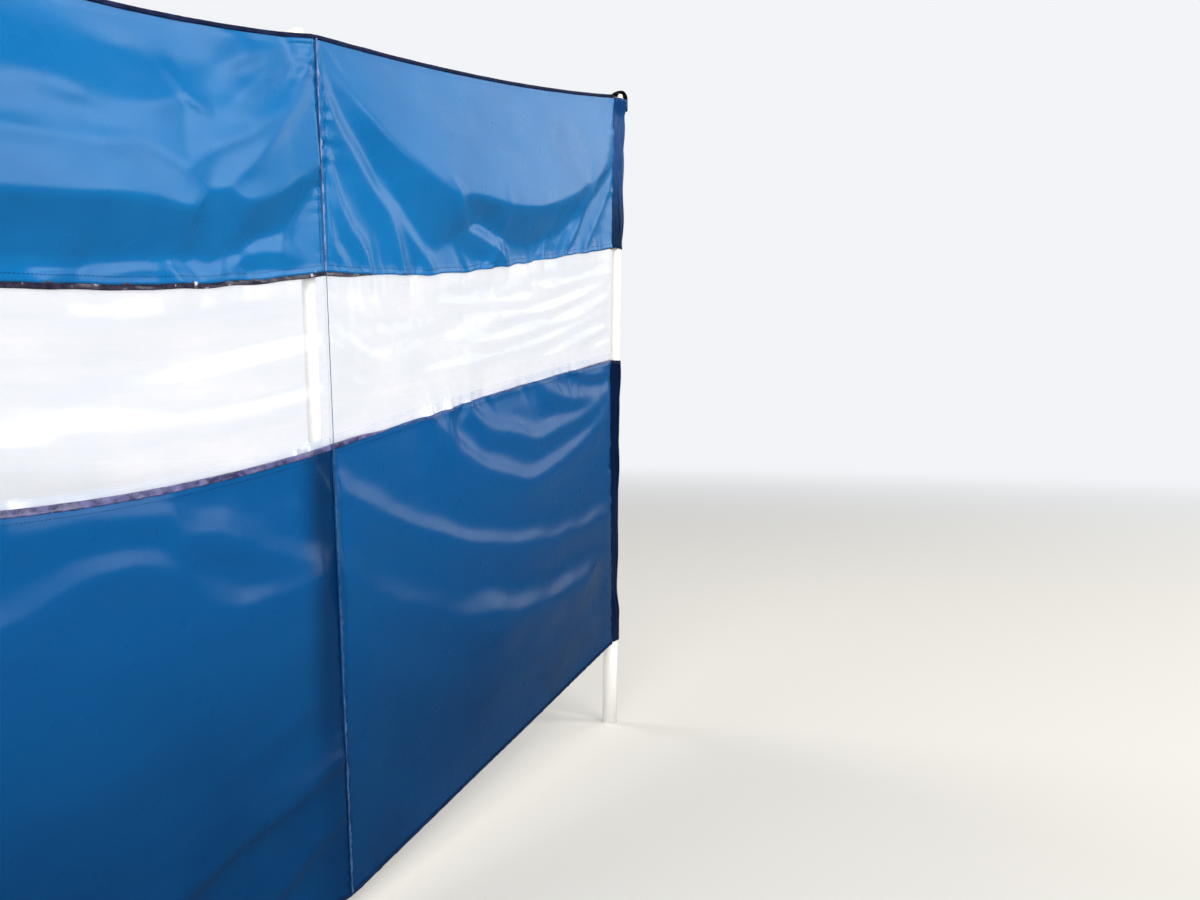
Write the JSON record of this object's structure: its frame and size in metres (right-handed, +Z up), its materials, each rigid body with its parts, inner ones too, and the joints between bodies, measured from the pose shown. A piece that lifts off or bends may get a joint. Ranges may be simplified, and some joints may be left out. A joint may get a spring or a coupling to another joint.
{
  "type": "beach windbreak",
  "caption": "Free-standing cloth windbreak in bays: two blue bands with a clear window between them, sewn in sleeves round upright posts.",
  "frame": {"origin": "centre of the middle post's flat foot, at ground level", "axes": "+X along the row from the left end to the right end seen from the front, +Y to the side that the posts stand on, +Z up"},
  "size_m": [3.9602, 0.6007, 1.404],
  "materials": {
    "blue_cloth": "coated woven polyester with a soft sheen",
    "sleeve_cloth": "navy woven polyester",
    "clear_film": "soft clear film, slightly milky and rippled",
    "dark_tape": "woven binding tape",
    "black_webbing": "ribbed webbing",
    "white_enamel": "smooth white coating on steel tube",
    "white_plastic": "satin white plastic tube",
    "cap_plastic": "moulded cream-white plastic"
  },
  "bodies": {
    "root": {"ground_tube_1": "white_plastic", "post_1": "white_enamel", "post_cap_1": "cap_plastic", "upper_sleeve_1": "sleeve_cloth", "lower_sleeve_1": "sleeve_cloth", "ground_tube_2": "white_plastic", "post_2": "white_enamel", "post_cap_2": "cap_plastic", "upper_sleeve_2": "sleeve_cloth", "lower_sleeve_2": "sleeve_cloth", "ground_tube_3": "white_plastic", "post_3": "white_enamel", "post_cap_3": "cap_plastic", "upper_sleeve_3": "sleeve_cloth", "lower_sleeve_3": "sleeve_cloth", "ground_tube_4": "white_plastic", "post_4": "white_enamel", "post_cap_4": "cap_plastic", "upper_sleeve_4": "sleeve_cloth", "lower_sleeve_4": "sleeve_cloth", "ground_tube_5": "white_plastic", "post_5": "white_enamel", "post_cap_5": "cap_plastic", "upper_sleeve_5": "sleeve_cloth", "lower_sleeve_5": "sleeve_cloth", "lower_panel_1": "blue_cloth", "window_1": "clear_film", "upper_panel_1": "blue_cloth", "lower_panel_2": "blue_cloth", "window_2": "clear_film", "upper_panel_2": "blue_cloth", "lower_panel_3": "blue_cloth", "window_3": "clear_film", "upper_panel_3": "blue_cloth", "lower_panel_4": "blue_cloth", "window_4": "clear_film", "upper_panel_4": "blue_cloth", "top_binding": "dark_tape", "bottom_binding": "dark_tape", "end_loop_left": "black_webbing", "end_loop_right": "black_webbing"}
  },
  "joints": []
}
